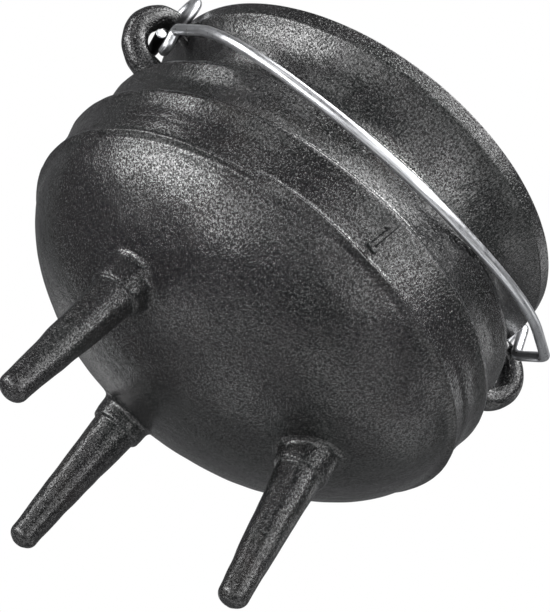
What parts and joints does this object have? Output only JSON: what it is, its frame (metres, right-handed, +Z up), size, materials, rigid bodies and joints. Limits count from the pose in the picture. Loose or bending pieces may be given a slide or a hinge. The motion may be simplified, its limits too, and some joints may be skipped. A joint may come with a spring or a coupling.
{
  "type": "dutch oven",
  "caption": "Round-bellied cast-iron pot on tapered legs, with stepped bands, loop ears, a swinging wire bail and a lift-off lid.",
  "frame": {"origin": "on the pot's axis, in the plane of the three foot tips", "axes": "+Z up along the pot's axis; +X through the two ears; the rear leg stands at +Y and the folded bail hangs at -Y"},
  "size_m": [0.2306, 0.2139, 0.2267],
  "materials": {
    "cast_iron": "seasoned sand-cast, fine grain, semi-gloss",
    "lid_iron": "seasoned sand-cast, fine grain, semi-gloss",
    "bail_wire": "drawn galvanised wire"
  },
  "bodies": {
    "pot": {"pot_bottom": "cast_iron", "pot_belly": "cast_iron", "pot_neck_lower": "cast_iron", "pot_neck_upper": "cast_iron", "pot_rim": "cast_iron", "leg_front_left": "cast_iron", "leg_front_right": "cast_iron", "leg_rear": "cast_iron", "ear_left": "cast_iron", "ear_right": "cast_iron", "size_mark": "cast_iron"},
    "bail": {"bail_bow": "bail_wire", "bail_hook_left": "bail_wire", "bail_hook_right": "bail_wire"},
    "lid": {"lid_cover": "lid_iron", "lid_handle": "lid_iron"}
  },
  "joints": [
    {"name": "bail_swing", "type": "hinge", "parent": "pot", "child": "bail", "pos_m": [0, 0, 0.1886], "axis": [-1, 0, 0], "range_deg": [0, 140]},
    {"name": "lid_lift", "type": "slide", "parent": "pot", "child": "lid", "axis": [0, 0, 1], "range_m": [0, 0.03]}
  ]
}
